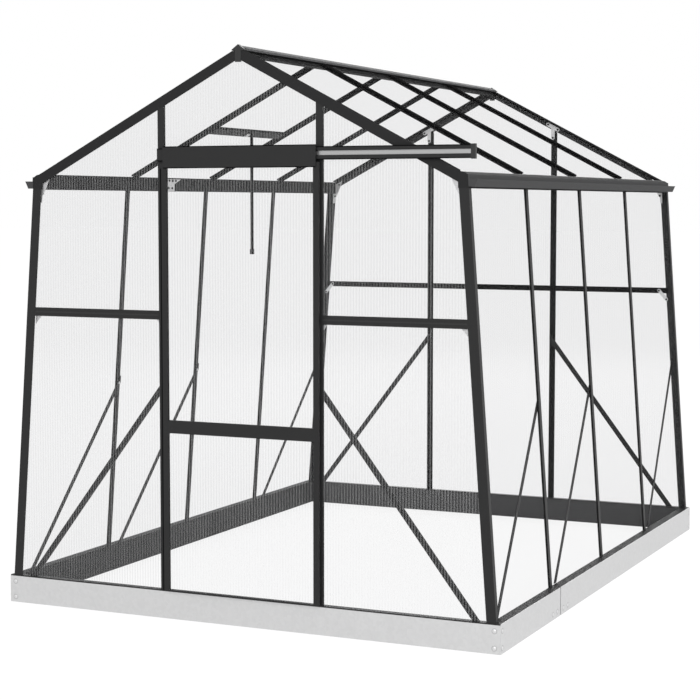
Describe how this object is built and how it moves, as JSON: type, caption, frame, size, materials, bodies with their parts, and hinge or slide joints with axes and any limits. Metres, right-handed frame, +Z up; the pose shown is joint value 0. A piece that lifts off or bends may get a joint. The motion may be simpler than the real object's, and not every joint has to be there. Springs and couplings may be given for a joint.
{
  "type": "polycarbonate greenhouse",
  "caption": "Walk-in greenhouse with twin-wall polycarbonate panels in a dark aluminium frame, leaning sides, gable roof with a vent, a sliding front door and a galvanised base.",
  "frame": {"origin": "middle of the base on the ground", "axes": "+Z up, the door end faces -Y, +X to the right along the door end"},
  "size_m": [1.9, 2.504, 1.985],
  "materials": {
    "frame_dark": "satin dark grey powder coat",
    "galvanised": "matt galvanised",
    "panel": "translucent twin-wall polycarbonate",
    "rail_metal": "mill finish",
    "black_plastic": "matt"
  },
  "bodies": {
    "greenhouse": {"skirt_ends": "galvanised", "skirt_sides": "galvanised", "base_rail_ends": "frame_dark", "base_rail_sides": "frame_dark", "sill_ends": "frame_dark", "sill_sides": "frame_dark", "corner_posts": "frame_dark", "door_posts": "frame_dark", "door_lintel": "frame_dark", "back_posts": "frame_dark", "side_bars": "frame_dark", "gable_rafters": "frame_dark", "rafters": "frame_dark", "ridge_beam": "frame_dark", "ridge_caps": "black_plastic", "eave_beams": "frame_dark", "gutters": "frame_dark", "front_crossbars": "frame_dark", "back_crossbar": "frame_dark", "front_braces": "frame_dark", "back_braces": "frame_dark", "side_braces": "frame_dark", "eave_gussets": "galvanised", "eave_plates": "galvanised", "back_tee_plates": "galvanised", "crossbar_gussets": "galvanised", "back_straps": "galvanised", "door_rail": "frame_dark", "rail_strip": "rail_metal", "rail_end_cap": "black_plastic", "vent_bar": "frame_dark", "vent_panel": "panel", "vent_stay": "frame_dark", "vent_clip": "galvanised", "side_panels": "panel", "roof_panels": "panel", "gable_side_panels": "panel", "gable_mid_panels": "panel"},
    "sliding_door": {"door_stiles": "frame_dark", "door_rails": "frame_dark", "door_top_plate": "frame_dark", "door_rollers": "black_plastic", "door_panels": "panel"}
  },
  "joints": [
    {"name": "door_slide", "type": "slide", "parent": "greenhouse", "child": "sliding_door", "axis": [1, 0, 0], "range_m": [0, 0.57]}
  ]
}
